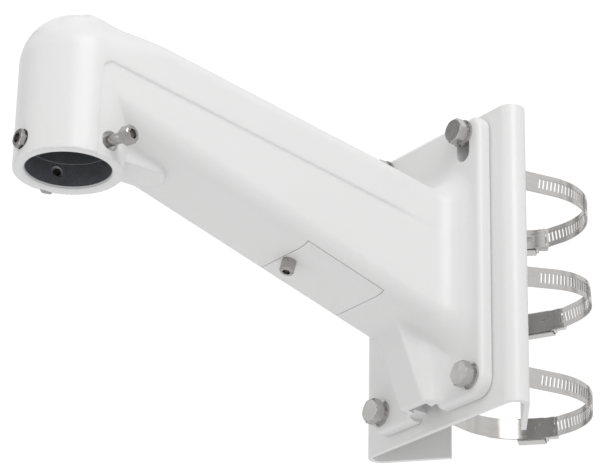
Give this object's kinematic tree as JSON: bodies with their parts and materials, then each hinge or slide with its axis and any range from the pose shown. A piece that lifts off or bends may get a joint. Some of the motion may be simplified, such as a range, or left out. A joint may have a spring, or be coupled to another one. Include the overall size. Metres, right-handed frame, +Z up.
{
  "type": "camera pole mount bracket",
  "caption": "Cast arm bracket on a folded pole plate with worm-drive bands; its domed head holds a camera's neck over a hollow cable duct.",
  "frame": {"origin": "on the pole's axis, level with the middle band", "axes": "+Z up along the pole, -Y out along the arm towards the camera head, +X to the side with the screw that stands furthest out"},
  "size_m": [0.13, 0.3929, 0.178],
  "materials": {
    "coated_casting": "white powder coat on cast aluminium, bare inside the socket",
    "coated_sheet": "white powder coat on folded steel sheet",
    "gasket_rubber": "matt",
    "screw_steel": "turned stainless steel",
    "bolt_steel": "forged stainless steel",
    "band_steel": "rolled stainless steel band",
    "housing_steel": "bright pressed stainless steel",
    "worm_steel": "bright plated steel"
  },
  "bodies": {
    "bracket": {"arm_casting": "coated_casting", "access_cover": "coated_casting", "cover_gasket": "gasket_rubber", "pole_plate": "coated_sheet", "bolt_upper_near": "bolt_steel", "bolt_upper_far": "bolt_steel", "bolt_lower_near": "bolt_steel", "bolt_lower_far": "bolt_steel", "spring_washer_upper_near": "bolt_steel", "spring_washer_upper_far": "bolt_steel", "spring_washer_lower_near": "bolt_steel", "spring_washer_lower_far": "bolt_steel", "washer_upper_near": "bolt_steel", "washer_upper_far": "bolt_steel", "washer_lower_near": "bolt_steel", "washer_lower_far": "bolt_steel", "nut_upper_near": "bolt_steel", "nut_upper_far": "bolt_steel", "nut_lower_near": "bolt_steel", "nut_lower_far": "bolt_steel", "band_top": "band_steel", "band_middle": "band_steel", "band_bottom": "band_steel", "housing_top": "housing_steel", "housing_middle": "housing_steel", "housing_bottom": "housing_steel"},
    "front_lock": {"front_lock_screw": "screw_steel"},
    "near_lock": {"near_lock_screw": "screw_steel"},
    "far_lock": {"far_lock_screw": "screw_steel"},
    "cover_fastener": {"cover_screw": "screw_steel"},
    "top_worm": {"worm_screw_top": "worm_steel"},
    "middle_worm": {"worm_screw_middle": "worm_steel"},
    "bottom_worm": {"worm_screw_bottom": "worm_steel"}
  },
  "joints": [
    {"name": "front_lock_slide", "type": "slide", "parent": "bracket", "child": "front_lock", "axis": [0, -1, 0], "range_m": [0, 0.0117]},
    {"name": "near_lock_slide", "type": "slide", "parent": "bracket", "child": "near_lock", "axis": [0.9613, 0.2756, 0], "range_m": [-0.0116, 0]},
    {"name": "far_lock_slide", "type": "slide", "parent": "bracket", "child": "far_lock", "axis": [-0.9613, 0.2756, 0], "range_m": [-0.0104, 0.001]},
    {"name": "cover_screw_slide", "type": "slide", "parent": "bracket", "child": "cover_fastener", "axis": [0, -0.2712, -0.9625], "range_m": [0, 0.006]},
    {"name": "top_worm_turn", "type": "hinge", "parent": "bracket", "child": "top_worm", "pos_m": [-0.03327, 0.03327, 0.0605], "axis": [-0.7071, -0.7071, 0], "continuous": true},
    {"name": "middle_worm_turn", "type": "hinge", "parent": "bracket", "child": "middle_worm", "pos_m": [-0.0262, 0.04002, 0.00672], "axis": [-0.8387, -0.5421, -0.0522], "continuous": true},
    {"name": "bottom_worm_turn", "type": "hinge", "parent": "bracket", "child": "bottom_worm", "pos_m": [-0.03056, 0.03578, -0.0605], "axis": [-0.7604, -0.6494, 0], "continuous": true}
  ]
}
